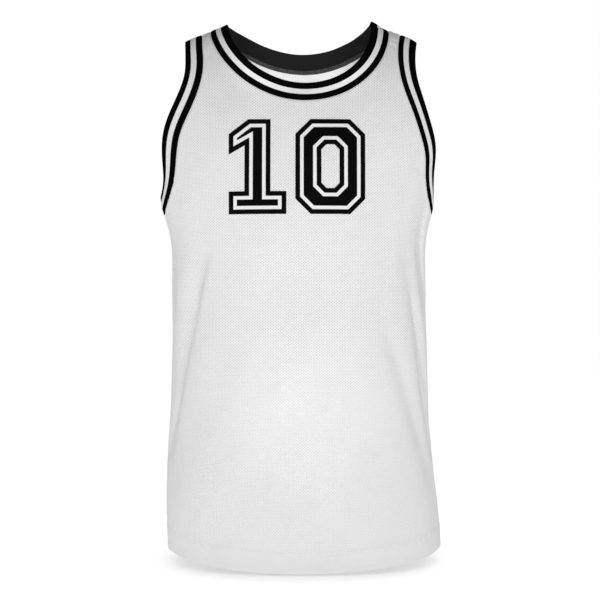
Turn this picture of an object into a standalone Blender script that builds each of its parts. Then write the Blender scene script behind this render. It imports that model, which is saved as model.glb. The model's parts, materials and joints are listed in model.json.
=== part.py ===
"""Basketball jersey, filled out as if worn, with nobody in it.

Five cut-and-sewn pieces: a front panel, a back panel, a neck rib and two armhole ribs.
Every piece is a thin wall on one surface, which runs through the level rings of a general torso.
A place on that surface is an angle round the body (0 in front, 90 degrees at the wearer's left
side, 180 behind) and a way down from the top ring, measured along the body's side.
The origin is midway between the shoulder straps, on top of the wearer's shoulders. The front
faces -Y, the wearer's left side is at +X, and up is +Z. Lengths are in metres.
"""

import math

import bpy
import numpy as np
from mathutils import Vector
from mathutils.geometry import delaunay_2d_cdt

# ---- Cloth ----
MESH_WALL = 0.0012          # eyelet mesh of the two panels
HEM_WALL = 0.0018           # the panels' own cloth turned up and stitched
RIB_WALL = 0.0022           # the doubled rib knit
RIB_PROUD = 0.0005          # how far the ribs' outside stands above the panels' outside
RIB_ROLL = 0.0007           # how far a rib's folded free edge rounds out
SEAM_GAP = 0.0003           # clearance between two pieces that are sewn together

# ---- Bands and hem ----
RIB_WIDTH = 0.0250          # neck and armhole ribs, free edge to seam
ARM_TURN_IN = {1: 0.0039, -1: 0.0020}   # how far a rib's free edge turns in under that arm: left, right
ARM_FLARE = {1: 0.0, -1: 0.0062}        # how far it stands out in front of that arm
ARM_FLARE_POWER = 4         # how it fades above and below that place: more is sooner
MIDDLE_TURN_IN = 0.3        # share of both that its middle row takes
HEM_DEPTH = 0.024           # turned-up hem
HEM_SIDE = -0.710           # height of the hem's edge at the side seams
HEM_DROP_FRONT = 0.022      # how much lower the hem's edge hangs at the middle of the front
HEM_DROP_BACK = 0.018       # and at the middle of the back
HEM_POWER = 1.5             # how the drop fades towards the sides: more is steeper

# ---- Neck opening, along the rib's free edge ----
NECK_TOP = 0.0140           # height at the shoulders
NECK_TILT = 0.0020          # the wearer's left shoulder is this much above that, the right below
NECK_DROP_FRONT = 0.0970    # depth of the scoop in front
NECK_DROP_BACK = 0.0315     # depth behind
NECK_CORNER = 0.060         # how soft the front scoop's corner at the shoulder is: 0 is sharp
NECK_POWER_BACK = 2.05      # how pointed the scoop behind is: 1 is an ellipse
NECK_SWING = 0.0086         # the scoop's lowest place lies this far to the wearer's left
SWING_CORNER = 0.60         # how softly the swing starts at the shoulders

# ---- The body that fills the garment: one row for each level ring, from the top down ----
# Height, half widths to the wearer's right and left, and depths in front and behind.
#        height   right    left     front    back
RINGS = np.array((
        (0.0220,  0.0800,  0.0870,  0.0300,  0.0280),
        (0.0160,  0.0912,  0.0990,  0.0346,  0.0326),
        (0.0120,  0.1010,  0.1060,  0.0377,  0.0357),
        (0.0070,  0.1103,  0.1123,  0.0415,  0.0402),
        (0.0020,  0.1228,  0.1243,  0.0454,  0.0444),
        (-0.0055, 0.1412,  0.1462,  0.0519,  0.0510),
        (-0.0135, 0.1605,  0.1635,  0.0600,  0.0610),
        (-0.0300, 0.1860,  0.1860,  0.0720,  0.0740),
        (-0.0600, 0.2050,  0.2050,  0.0900,  0.0920),
        (-0.1000, 0.2130,  0.2130,  0.1050,  0.1090),
        (-0.1500, 0.2120,  0.2110,  0.1170,  0.1190),
        (-0.2000, 0.2020,  0.1970,  0.1240,  0.1220),
        (-0.2400, 0.1930,  0.1865,  0.1260,  0.1190),
        (-0.2900, 0.1805,  0.1750,  0.1250,  0.1120),
        (-0.3500, 0.1780,  0.1745,  0.1190,  0.1030),
        (-0.4200, 0.1780,  0.1765,  0.1150,  0.0980),
        (-0.4900, 0.1795,  0.1785,  0.1150,  0.1000),
        (-0.5600, 0.1820,  0.1820,  0.1180,  0.1060),
        (-0.6300, 0.1860,  0.1885,  0.1230,  0.1130),
        (-0.7000, 0.1850,  0.1950,  0.1270,  0.1180),
        (-0.7600, 0.1830,  0.1990,  0.1290,  0.1200),
))
SQUARENESS = 2.3            # exponent of the rings: 2 is an ellipse, more is boxier

# ---- Armholes: the rib's free edge seen from the side, from the top round by the front ----
#            left     height   right: how far forward each is
ARMHOLE = np.array((
            (0.0000,  -0.0132, 0.0000),
            (0.0303,  -0.0200, 0.0310),
            (0.0521,  -0.0405, 0.0530),
            (0.0679,  -0.0710, 0.0695),
            (0.0721,  -0.1060, 0.0738),
            (0.0677,  -0.1440, 0.0690),
            (0.0575,  -0.1790, 0.0635),
            (0.0466,  -0.2085, 0.0530),
            (0.0260,  -0.2250, 0.0305),
            (0.0000,  -0.2300, 0.0000),
            (-0.0270, -0.2240, -0.0270),
            (-0.0490, -0.2030, -0.0490),
            (-0.0640, -0.1690, -0.0640),
            (-0.0720, -0.1300, -0.0720),
            (-0.0720, -0.0910, -0.0720),
            (-0.0600, -0.0550, -0.0600),
            (-0.0370, -0.0250, -0.0370),
))
ARMHOLE_BOTTOM = 9          # the row of the underarm
LEAD = 3                    # rows repeated past both ends, so that the closed curve runs on there

# ---- The largest folds: soft troughs pressed into the cloth between two places on the body ----
#        angle    height   angle    height   depth    half width
FOLDS = np.array((
        (-46.0,  -0.310,  -72.0,   -0.575,  0.0065,  0.014),    # right front, long
        (-78.0,  -0.262,  -72.0,   -0.390,  0.0030,  0.013),    # right front, below the armhole
        (53.0,   -0.320,  77.0,    -0.580,  0.0065,  0.014),    # left front, long
        (38.0,   -0.400,  68.0,    -0.620,  0.0035,  0.015),    # left front, inner and softer
        (62.0,   -0.262,  73.0,    -0.400,  0.0035,  0.012),    # left front, below the armhole
        (146.0,  -0.300,  118.0,   -0.560,  0.0080,  0.017),    # left back, long
        (166.0,  -0.420,  142.0,   -0.600,  0.0045,  0.016),    # left back, inner and softer
        (224.0,  -0.350,  246.0,   -0.620,  0.0075,  0.016),    # right back, long
        (200.0,  -0.470,  210.0,   -0.640,  0.0040,  0.017),    # right back, low
        (252.0,  -0.262,  242.0,   -0.370,  0.0045,  0.014),    # right back, below the armhole
))
FOLD_END = 0.12             # how soon a fold fades out at its ends: 0 is at once, 0.5 never

# ---- Mesh density ----
GRAIN = 0.0195              # spacing of the places inside a panel
RIM_CLEAR = 0.55            # how far they keep from the panel's outline, as a share of that
PLACE_CLEAR = 0.6           # and from each other
FOLD_GRAIN = 0.021          # spacing of the places along a fold
EDGE_PARTS = 18             # parts of a quarter of the neck seam
ARM_PARTS = 22              # parts of a front or back half of an armhole seam
SIDE_PARTS = 24             # parts of a side seam
HEM_PARTS = 26              # parts of a panel's hem
SHOULDER_PARTS = 2          # parts of a shoulder seam
WALK_STEPS = 12             # steps in which a seam is found from a rib's free edge
DENSE = 360                 # places on half of a closed edge before it is divided evenly
WAY_PLACES = 2000           # places on the way down from the top ring to the lowest
NUDGE = 1e-4                # small change that gives the surface's slopes
MERGE = 1e-7                # places closer than this in the flat are one
SHARP = math.radians(50)    # edges that turn more than this look sharp
GIRTH_RADIUS = 0.160        # turns an angle round the body into a length of cloth
CLOTH_SIDE = -1             # on which side of the neck's and the left armhole's edge the cloth is


# ---- The body's surface ----

def spline(x, y, at):
    """The natural cubic spline through the points, at some places."""
    gap = np.diff(x)
    slope = np.diff(y) / gap
    system = np.eye(len(x))
    for i in range(1, len(x) - 1):
        system[i, i - 1:i + 2] = gap[i - 1], 2 * (gap[i - 1] + gap[i]), gap[i]
    bend = np.linalg.solve(system, np.concatenate(((0,), 6 * np.diff(slope), (0,))))
    i = np.clip(np.searchsorted(x, at) - 1, 0, len(x) - 2)
    low = (x[i + 1] - at) / gap[i]
    high = 1 - low
    curve = (low ** 3 - low) * bend[i] + (high ** 3 - high) * bend[i + 1]
    return low * y[i] + high * y[i + 1] + curve * gap[i] ** 2 / 6


RING_WAY = np.append(0.0, np.cumsum(np.hypot(*np.diff(RINGS[:, :2], axis=0).T)))
WAY = np.linspace(0.0, RING_WAY[-1], WAY_PLACES)
RING_AT_WAY = np.array([spline(RING_WAY, column, WAY) for column in RINGS.T])


def rings_at(down):
    """Height, half widths right and left, and depths front and back, some way down."""
    return [np.interp(down, WAY, column) for column in RING_AT_WAY]


def way_to(height):
    """The way down to a height."""
    return np.interp(-height, -RING_AT_WAY[0], WAY)


def on_ring(angle, down):
    """Points of the smooth body, without folds."""
    height, right, left, front, back = rings_at(down)
    sine, cosine = np.sin(angle), np.cos(angle)
    reach = (np.abs(sine) ** SQUARENESS + np.abs(cosine) ** SQUARENESS) ** (-1 / SQUARENESS)
    x = reach * sine * np.where(sine > 0, left, right)
    y = -reach * cosine * np.where(cosine > 0, front, back)
    return np.stack((x, y, height), -1)


def slopes_of(surface, angle, down):
    """How a surface's points move with the angle and with the way down."""
    by_angle = surface(angle + NUDGE, down) - surface(angle - NUDGE, down)
    by_way = surface(angle, down + NUDGE) - surface(angle, down - NUDGE)
    return by_angle / (2 * NUDGE), by_way / (2 * NUDGE)


def unit(vectors):
    """Vectors of length 1 with the same directions."""
    return vectors / np.linalg.norm(vectors, axis=-1, keepdims=True)


def normals_of(surface, angle, down):
    """Unit normals of a surface, pointing out of the garment."""
    by_angle, by_way = slopes_of(surface, angle, down)
    return unit(np.cross(by_way, by_angle))


def fold_lines():
    """Both ends of each fold, laid flat, with its depth and half width."""
    for start, top, end, bottom, depth, half_width in FOLDS:
        ends = [
            np.array((math.radians(angle) * GIRTH_RADIUS, way_to(height)))
            for angle, height in ((start, top), (end, bottom))
        ]
        yield *ends, depth, half_width


def fold_depth(angle, down):
    """How far the folds press the cloth in."""
    pressed = np.zeros(angle.shape)
    round_the_back = np.where(angle < -math.pi / 2, 2 * math.pi, 0)
    place = np.stack(((angle + round_the_back) * GIRTH_RADIUS, down), -1)
    for start, end, depth, half_width in fold_lines():
        line = end - start
        along = np.clip(((place - start) @ line) / (line @ line), 0, 1)
        off = np.linalg.norm(place - start - along[..., None] * line, axis=-1)
        fade = np.sin(math.pi * (FOLD_END + (1 - 2 * FOLD_END) * along))
        pressed += depth * fade * np.exp(-(off / half_width) ** 2)
    return pressed


def on_body(angle, down):
    """Points of the garment's outside."""
    pressed = fold_depth(angle, down)[..., None]
    return on_ring(angle, down) - pressed * normals_of(on_ring, angle, down)


# ---- Edges and seams: closed rows of places ----

def walk(angle, down, width, towards):
    """Moves each place of a closed edge square to the edge, over the surface, by a width.

    towards is 1 or -1, for the side of the edge that it moves to. The places after each step
    are returned, from the edge itself to the full width.
    """
    points = on_ring(angle, down)
    along = np.roll(points, -1, axis=0) - np.roll(points, 1, axis=0)
    heading = unit(np.cross(normals_of(on_ring, angle, down), along)) * towards
    places = [np.stack((angle, down))]
    for _ in range(WALK_STEPS):
        by_angle, by_way = slopes_of(on_ring, angle, down)
        normal = unit(np.cross(by_way, by_angle))
        heading = unit(heading - (heading * normal).sum(-1, keepdims=True) * normal)
        step = heading * width / WALK_STEPS
        aa, aw, ww = ((p * q).sum(-1) for p, q in (
            (by_angle, by_angle), (by_angle, by_way), (by_way, by_way)))
        a, w = (by_angle * step).sum(-1), (by_way * step).sum(-1)
        scale = aa * ww - aw ** 2
        angle = angle + (a * ww - w * aw) / scale
        down = down + (w * aa - a * aw) / scale
        places.append(np.stack((angle, down)))
    return places


def softened(value, corner):
    """A value's size from 0 to 1, with the sharp corner at 0 rounded."""
    return (np.hypot(value, corner) - corner) / (math.hypot(1, corner) - corner)


def neck_edge():
    """The neck rib's free edge, from the middle of the front round by the wearer's left."""
    turn = np.arange(2 * DENSE) * math.pi / DENSE
    sine, cosine = np.sin(turn), np.cos(turn)
    fall = np.where(
        cosine > 0,
        NECK_DROP_FRONT * softened(cosine, NECK_CORNER),
        NECK_DROP_BACK * np.abs(cosine) ** NECK_POWER_BACK,
    )
    swing = NECK_SWING * (1 - (1 - softened(cosine, SWING_CORNER)) ** 2)
    right = rings_at(way_to(NECK_TOP - NECK_TILT))[1]
    left = rings_at(way_to(NECK_TOP + NECK_TILT))[2]
    x = sine * np.where(sine > 0, left, right) + swing
    down = way_to(NECK_TOP + NECK_TILT * sine - fall)
    sizes = rings_at(down)
    share = np.clip(x / np.where(x > 0, sizes[2], sizes[1]), -1, 1)
    ahead = (1 - np.abs(share) ** SQUARENESS) ** (1 / SQUARENESS)
    return np.arctan2(share, np.copysign(ahead, cosine)), down


def armhole_edge(side):
    """An armhole rib's free edge, from the top round by the front. side is 1 for the left arm."""
    table = ARMHOLE[:, :2] if side > 0 else ARMHOLE[:, 2:0:-1]
    rows = np.concatenate((table[-LEAD:], table, table[:LEAD + 1]))
    knots = np.append(0.0, np.cumsum(np.hypot(*np.diff(rows, axis=0).T)))
    ends = knots[[LEAD, LEAD + ARMHOLE_BOTTOM, LEAD + len(ARMHOLE)]]
    halves = [np.linspace(start, end, DENSE, endpoint=False) for start, end in zip(ends, ends[1:])]
    forward, height = (spline(knots, column, np.concatenate(halves)) for column in rows.T)
    down = way_to(height)
    front, back = rings_at(down)[3:]
    share = forward / np.where(forward > 0, front, back)
    beside = (1 - np.abs(share) ** SQUARENESS) ** (1 / SQUARENESS)
    return side * np.arctan2(beside, share), down


def arm_turn_in(side):
    """How far an armhole rib's free edge turns in, all round from the top by the front."""
    around = np.arange(2 * ARM_PARTS) * math.pi / ARM_PARTS
    flare = ARM_FLARE[side] * np.clip(np.sin(around), 0, None) ** ARM_FLARE_POWER
    return ARM_TURN_IN[side] * np.sin(around / 2) ** 2 - flare


def even_positions(places, corners, parts):
    """Positions on a closed edge that divide each stretch between its corners evenly."""
    total = places.shape[1]
    positions = []
    for start, end in zip(corners, corners[1:] + [total]):
        points = on_ring(*places[:, np.arange(start, end + 1) % total])
        length = np.append(0.0, np.cumsum(np.linalg.norm(np.diff(points, axis=0), axis=1)))
        marks = np.linspace(0, length[-1], parts + 1)[:-1]
        positions.append(start + np.interp(marks, length, np.arange(len(length))))
    return np.concatenate(positions)


def read_at(places, positions):
    """The places of a closed edge at positions that may lie between them."""
    angle, down = np.append(places, places[:, :1], axis=1)
    whole = np.arange(len(angle))
    return np.stack((np.interp(positions, whole, np.unwrap(angle)), np.interp(positions, whole, down)))


def banded_edge(edge, towards, corners, parts):
    """What lies between a free edge and the panels beside it, at the same places all along.

    Returns the rib's rows, from its free edge to its cut edge, and the panels' row.
    """
    band = walk(*edge, RIB_WIDTH - SEAM_GAP / 2, towards)
    panels = walk(*edge, RIB_WIDTH + SEAM_GAP / 2, towards)[-1]
    positions = even_positions(panels, corners, parts)
    rows = [read_at(places, positions) for places in (band[0], band[WALK_STEPS // 2], band[-1])]
    return rows, read_at(panels, positions)


def hem_height(angle):
    """Height of the hem's edge round the body."""
    cosine = np.cos(angle)
    drop = np.where(cosine > 0, HEM_DROP_FRONT, HEM_DROP_BACK)
    return HEM_SIDE - drop * np.abs(cosine) ** HEM_POWER


def hem_places(middle, rise):
    """Places between a panel's side seams, some way above its hem's edge."""
    angle = np.linspace(-math.pi / 2, math.pi / 2, HEM_PARTS + 1)[1:-1]
    return np.stack((angle, way_to(hem_height(angle + middle) + rise)))


# ---- Closed solids ----

def finish(name, points, faces, material):
    """An object from points and faces, smooth but for its cut edges."""
    mesh = bpy.data.meshes.new(name)
    mesh.from_pydata(points.tolist(), [], faces)
    mesh.materials.append(material)
    mesh.shade_smooth()
    mesh.set_sharp_from_angle(angle=SHARP)
    made = bpy.data.objects.new(name, mesh)
    bpy.context.collection.objects.link(made)
    return made


def rib(name, rows, towards, turn_in, material):
    """A closed band of knit along an edge, with its free edge rolled and turned in."""
    points = [on_body(*row) for row in rows]
    normals = [normals_of(on_body, *row) for row in rows]
    for k, share in enumerate((1, MIDDLE_TURN_IN)):
        points[k] = points[k] - normals[k] * (turn_in * share)[:, None]
    outside = [p + RIB_PROUD * n for p, n in zip(points, normals)]
    inside = [p - (RIB_WALL - RIB_PROUD) * n for p, n in zip(points, normals)]
    roll = (outside[0] + inside[0]) / 2 + RIB_ROLL * unit(points[0] - points[1])
    loops = [roll] + outside + inside[::-1]
    count = len(roll)
    faces = []
    for k in range(len(loops)):
        after = (k + 1) % len(loops)
        for i in range(count):
            j = (i + 1) % count
            face = (k * count + i, k * count + j, after * count + j, after * count + i)
            faces.append(face[::towards])
    return finish(name, np.concatenate(loops), faces, material)


def clearance(places, outline):
    """How far each place is from a closed outline, in the flat."""
    along = np.roll(outline, -1, axis=0) - outline
    offset = places[:, None] - outline
    share = np.clip((offset * along).sum(-1) / (along ** 2).sum(-1), 0, 1)
    return np.linalg.norm(offset - share[..., None] * along, axis=-1).min(1)


def within(places, outline):
    """Whether each place is inside a closed outline, in the flat."""
    starts, ends = outline, np.roll(outline, -1, axis=0)
    x, y = places[:, :1], places[:, 1:]
    spans = (starts[:, 1] > y) != (ends[:, 1] > y)
    rise = np.where(ends[:, 1] == starts[:, 1], 1, ends[:, 1] - starts[:, 1])
    crossing = starts[:, 0] + (y - starts[:, 1]) * (ends[:, 0] - starts[:, 0]) / rise
    return (spans & (x < crossing)).sum(1) % 2 == 1


def inner_places(outline, middle):
    """Places inside a panel's outline: along its folds, along its hem, and evenly between."""
    rows = []
    for start, end, _, half_width in fold_lines():
        line = end - start
        square = np.array((-line[1], line[0])) / np.linalg.norm(line)
        parts = max(2, round(np.linalg.norm(line) / FOLD_GRAIN))
        steps = np.linspace(0, 1, parts + 1)[:, None]
        for aside in (-half_width, 0, half_width):
            rows.append(start + line * steps + square * aside - (middle * GIRTH_RADIUS, 0))
    rows.append(hem_places(middle, HEM_DEPTH).T * (GIRTH_RADIUS, 1))
    low, high = outline.min(0), outline.max(0)
    across = np.arange(low[0], high[0], GRAIN)
    down = np.arange(low[1], high[1], GRAIN)
    grid = np.stack(np.meshgrid(across, down), -1)
    grid[1::2, :, 0] += GRAIN / 2
    kept = np.empty((0, 2))
    for row in rows + [grid.reshape(-1, 2)]:
        clear = clearance(row, outline) > GRAIN * RIM_CLEAR
        apart = np.ones(len(row), bool)
        if len(kept):
            apart = np.linalg.norm(row[:, None] - kept, axis=-1).min(1) > GRAIN * PLACE_CLEAR
        kept = np.concatenate((kept, row[clear & apart & within(row, outline)]))
    return kept


def closed_wall(name, outside, inside, faces, material):
    """A wall between two layers of points. faces join the outside ones."""
    count = len(outside)
    a, b, c = (outside[[face[k] for face in faces]] for k in range(3))
    outwards = outside - outside.mean(0) * (1, 0, 1)
    facing = (np.cross(b - a, c - a) * outwards[[face[0] for face in faces]]).sum()
    faces = [tuple(face) if facing > 0 else tuple(face)[::-1] for face in faces]
    edges = {(p, q) for face in faces for p, q in zip(face, face[1:] + face[:1])}
    rim = [(q, p, p + count, q + count) for p, q in sorted(edges) if (q, p) not in edges]
    lining = [tuple(corner + count for corner in reversed(face)) for face in faces]
    return finish(name, np.concatenate((outside, inside)), faces + lining + rim, material)


def panel(name, middle, neck, armholes, material):
    """A front or a back, filled in between its edges, as one closed wall.

    neck runs from the shoulder at the smaller angle to the other. armholes are the two armhole
    rows, from underarm to shoulder, at the smaller angle first. Angles count from the middle.
    """
    sides, shoulders = [], []
    for turn, armhole in zip((-1, 1), armholes):
        bottom = way_to(HEM_SIDE)
        seam = np.linspace(bottom, armhole[1, 0], SIDE_PARTS + 1)[:-1]
        sides.append(np.stack((np.full(SIDE_PARTS, turn * math.pi / 2), seam)))
        strap = np.linspace(armhole[1, -1], neck[1, 0 if turn < 0 else -1], SHOULDER_PARTS + 1)[1:-1]
        shoulders.append(np.stack((np.full(SHOULDER_PARTS - 1, turn * math.pi / 2), strap)))
    angle, down = np.concatenate((
        hem_places(middle, 0), sides[1], armholes[1], shoulders[1], neck[:, ::-1],
        shoulders[0][:, ::-1], armholes[0][:, ::-1], sides[0][:, ::-1]), axis=1)
    reach = math.pi / 2 - SEAM_GAP / 2 / rings_at(down)[3 if middle == 0 else 4]
    outline = np.stack((np.clip(angle, -reach, reach) * GIRTH_RADIUS, down), -1)
    flat = np.concatenate((outline, inner_places(outline, middle)))
    rim = [(i, (i + 1) % len(outline)) for i in range(len(outline))]
    faces = delaunay_2d_cdt([Vector(place) for place in flat], rim, [], 1, MERGE)[2]
    place = flat / (GIRTH_RADIUS, 1) + (middle, 0)
    outside = on_body(*place.T)
    above_hem = outside[:, 2] - hem_height(place[:, 0])
    thickness = np.where(above_hem < HEM_DEPTH + NUDGE, HEM_WALL, MESH_WALL)[:, None]
    inside = outside - thickness * normals_of(on_body, *place.T)
    return closed_wall(name, outside, inside, faces, material)


# ---- Materials ----

def cloth(name, colour, roughness):
    """A plain knitted cloth."""
    material = bpy.data.materials.new(name)
    material.use_nodes = True
    shader = material.node_tree.nodes["Principled BSDF"]
    shader.inputs["Base Color"].default_value = (*colour, 1)
    shader.inputs["Roughness"].default_value = roughness
    shader.inputs["Metallic"].default_value = 0
    material.diffuse_color = (*colour, 1)
    return material


# ---- The jersey ----

def between(places, start, end, middle):
    """Part of a closed edge, by its places' numbers, with angles counted from a middle."""
    numbers = np.arange(start, end + 1) if end > start else np.arange(start, end - 1, -1)
    angle, down = places[:, numbers % places.shape[1]]
    return np.stack(((angle - middle + math.pi) % (2 * math.pi) - math.pi, down))


def main():
    for old in list(bpy.data.objects):
        bpy.data.objects.remove(old)

    mesh_white = cloth("white_eyelet_mesh", (0.86, 0.86, 0.86), 0.8)
    rib_black = cloth("black_rib_knit", (0.012, 0.012, 0.013), 0.85)

    quarter_marks = [k * DENSE // 2 for k in range(4)]
    rows, neck = banded_edge(neck_edge(), CLOTH_SIDE, quarter_marks, EDGE_PARTS)
    rib("neck_rib", rows, CLOTH_SIDE, np.zeros(4 * EDGE_PARTS), rib_black)

    arms = {}
    for side, node in ((1, "armhole_rib_left"), (-1, "armhole_rib_right")):
        towards = side * CLOTH_SIDE
        rows, arms[side] = banded_edge(armhole_edge(side), towards, [0, DENSE], ARM_PARTS)
        rib(node, rows, towards, arm_turn_in(side), rib_black)

    front_neck = between(neck, -EDGE_PARTS, EDGE_PARTS, 0)
    front_arms = [between(arms[side], ARM_PARTS, 0, 0) for side in (-1, 1)]
    panel("front_panel", 0, front_neck, front_arms, mesh_white)
    back_neck = between(neck, EDGE_PARTS, 3 * EDGE_PARTS, math.pi)
    back_arms = [between(arms[side], ARM_PARTS, 2 * ARM_PARTS, math.pi) for side in (1, -1)]
    panel("back_panel", math.pi, back_neck, back_arms, mesh_white)


main()
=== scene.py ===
"""Looks of the basketball jersey: creased eyelet mesh, striped rib knit, sewing and a chest number.

The cloth lies on the same surface as the solids that it stands for. A place on that surface is an
angle round the body (0 in front, 90 degrees at the wearer's left, 180 behind) and a way down from
the top ring, measured along the body's side. Lengths are in metres.
"""

import json
import math
from contextlib import contextmanager

import bmesh
import bpy
import numpy as np
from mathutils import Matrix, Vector, kdtree
from mathutils.geometry import delaunay_2d_cdt

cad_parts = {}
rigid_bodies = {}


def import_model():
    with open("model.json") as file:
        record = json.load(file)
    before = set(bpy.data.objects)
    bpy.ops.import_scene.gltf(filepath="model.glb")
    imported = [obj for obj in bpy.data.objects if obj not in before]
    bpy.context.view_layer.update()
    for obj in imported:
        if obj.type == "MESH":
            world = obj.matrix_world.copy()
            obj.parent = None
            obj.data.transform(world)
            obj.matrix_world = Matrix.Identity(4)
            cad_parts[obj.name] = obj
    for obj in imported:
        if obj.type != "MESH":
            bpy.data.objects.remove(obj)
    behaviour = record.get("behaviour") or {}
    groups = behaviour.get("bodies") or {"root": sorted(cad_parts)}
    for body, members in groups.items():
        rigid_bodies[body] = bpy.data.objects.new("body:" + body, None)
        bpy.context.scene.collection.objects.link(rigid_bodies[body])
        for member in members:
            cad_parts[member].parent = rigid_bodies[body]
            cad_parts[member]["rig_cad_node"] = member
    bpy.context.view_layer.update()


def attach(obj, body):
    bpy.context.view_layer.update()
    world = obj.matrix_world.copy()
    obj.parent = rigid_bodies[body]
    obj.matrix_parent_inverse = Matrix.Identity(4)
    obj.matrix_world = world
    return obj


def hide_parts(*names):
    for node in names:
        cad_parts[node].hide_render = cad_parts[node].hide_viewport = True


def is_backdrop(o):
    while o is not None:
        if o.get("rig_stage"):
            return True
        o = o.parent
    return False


# ---- Cloth, bands, hem and neck, as in the solids, where part.py explains them ----
MESH_WALL = 0.0012      # eyelet mesh of the two panels
HEM_WALL = 0.0018       # the panels' own cloth turned up and stitched
RIB_WALL = 0.0022       # the doubled rib knit
RIB_PROUD = 0.0005      # how far the ribs' outside stands above the panels' outside
RIB_ROLL = 0.0007       # how far a rib's folded free edge rounds out
SEAM_GAP = 0.0003       # clearance between two pieces that are sewn together
RIB_WIDTH = 0.0250
ARM_TURN_IN = {1: 0.0039, -1: 0.0020}
ARM_FLARE = {1: 0.0, -1: 0.0062}
ARM_FLARE_POWER = 4
MIDDLE_TURN_IN = 0.3
HEM_DEPTH = 0.024
HEM_SIDE = -0.710
HEM_DROP_FRONT = 0.022
HEM_DROP_BACK = 0.018
HEM_POWER = 1.5
NECK_TOP = 0.0140
NECK_TILT = 0.0020
NECK_DROP_FRONT = 0.0970
NECK_DROP_BACK = 0.0315
NECK_CORNER = 0.060
NECK_POWER_BACK = 2.05
NECK_SWING = 0.0086
SWING_CORNER = 0.60

# ---- The body that fills the garment: one row for each level ring, from the top down ----
#    height  right   left    front   back
RINGS = np.array((
    (0.0220, 0.0800, 0.0870, 0.0300, 0.0280),
    (0.0160, 0.0912, 0.0990, 0.0346, 0.0326),
    (0.0120, 0.1010, 0.1060, 0.0377, 0.0357),
    (0.0070, 0.1103, 0.1123, 0.0415, 0.0402),
    (0.0020, 0.1228, 0.1243, 0.0454, 0.0444),
    (-0.0055, 0.1412, 0.1462, 0.0519, 0.0510),
    (-0.0135, 0.1605, 0.1635, 0.0600, 0.0610),
    (-0.0300, 0.1860, 0.1860, 0.0720, 0.0740),
    (-0.0600, 0.2050, 0.2050, 0.0900, 0.0920),
    (-0.1000, 0.2130, 0.2130, 0.1050, 0.1090),
    (-0.1500, 0.2120, 0.2110, 0.1170, 0.1190),
    (-0.2000, 0.2020, 0.1970, 0.1240, 0.1220),
    (-0.2400, 0.1930, 0.1865, 0.1260, 0.1190),
    (-0.2900, 0.1805, 0.1750, 0.1250, 0.1120),
    (-0.3500, 0.1780, 0.1745, 0.1190, 0.1030),
    (-0.4200, 0.1780, 0.1765, 0.1150, 0.0980),
    (-0.4900, 0.1795, 0.1785, 0.1150, 0.1000),
    (-0.5600, 0.1820, 0.1820, 0.1180, 0.1060),
    (-0.6300, 0.1860, 0.1885, 0.1230, 0.1130),
    (-0.7000, 0.1850, 0.1950, 0.1270, 0.1180),
    (-0.7600, 0.1830, 0.1990, 0.1290, 0.1200),
))
SQUARENESS = 2.3        # exponent of the rings: 2 is an ellipse, more is boxier

# ---- Armholes: the rib's free edge seen from the side, from the top round by the front ----
#    left    height   right: how far forward each is
ARMHOLE = np.array((
    (0.0000, -0.0132, 0.0000),
    (0.0303, -0.0200, 0.0310),
    (0.0521, -0.0405, 0.0530),
    (0.0679, -0.0710, 0.0695),
    (0.0721, -0.1060, 0.0738),
    (0.0677, -0.1440, 0.0690),
    (0.0575, -0.1790, 0.0635),
    (0.0466, -0.2085, 0.0530),
    (0.0260, -0.2250, 0.0305),
    (0.0000, -0.2300, 0.0000),
    (-0.0270, -0.2240, -0.0270),
    (-0.0490, -0.2030, -0.0490),
    (-0.0640, -0.1690, -0.0640),
    (-0.0720, -0.1300, -0.0720),
    (-0.0720, -0.0910, -0.0720),
    (-0.0600, -0.0550, -0.0600),
    (-0.0370, -0.0250, -0.0370),
))
ARMHOLE_BOTTOM = 9      # the row of the underarm
LEAD = 3                # rows repeated past both ends, so that the closed curve runs on there

# ---- The largest folds, as in the solids ----
#    angle  height  angle  height  depth   half width
FOLDS = np.array((
    (-46.0, -0.310, -72.0, -0.575, 0.0065, 0.014),
    (-78.0, -0.262, -72.0, -0.390, 0.0030, 0.013),
    (53.0, -0.320, 77.0, -0.580, 0.0065, 0.014),
    (38.0, -0.400, 68.0, -0.620, 0.0035, 0.015),
    (62.0, -0.262, 73.0, -0.400, 0.0035, 0.012),
    (146.0, -0.300, 118.0, -0.560, 0.0080, 0.017),
    (166.0, -0.420, 142.0, -0.600, 0.0045, 0.016),
    (224.0, -0.350, 246.0, -0.620, 0.0075, 0.016),
    (200.0, -0.470, 210.0, -0.640, 0.0040, 0.017),
    (252.0, -0.262, 242.0, -0.370, 0.0045, 0.014),
))
FOLD_ENDS = 0.12, 1.0, 6  # how soon one fades out at its ends, how steeply, and its half widths' reach

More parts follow.
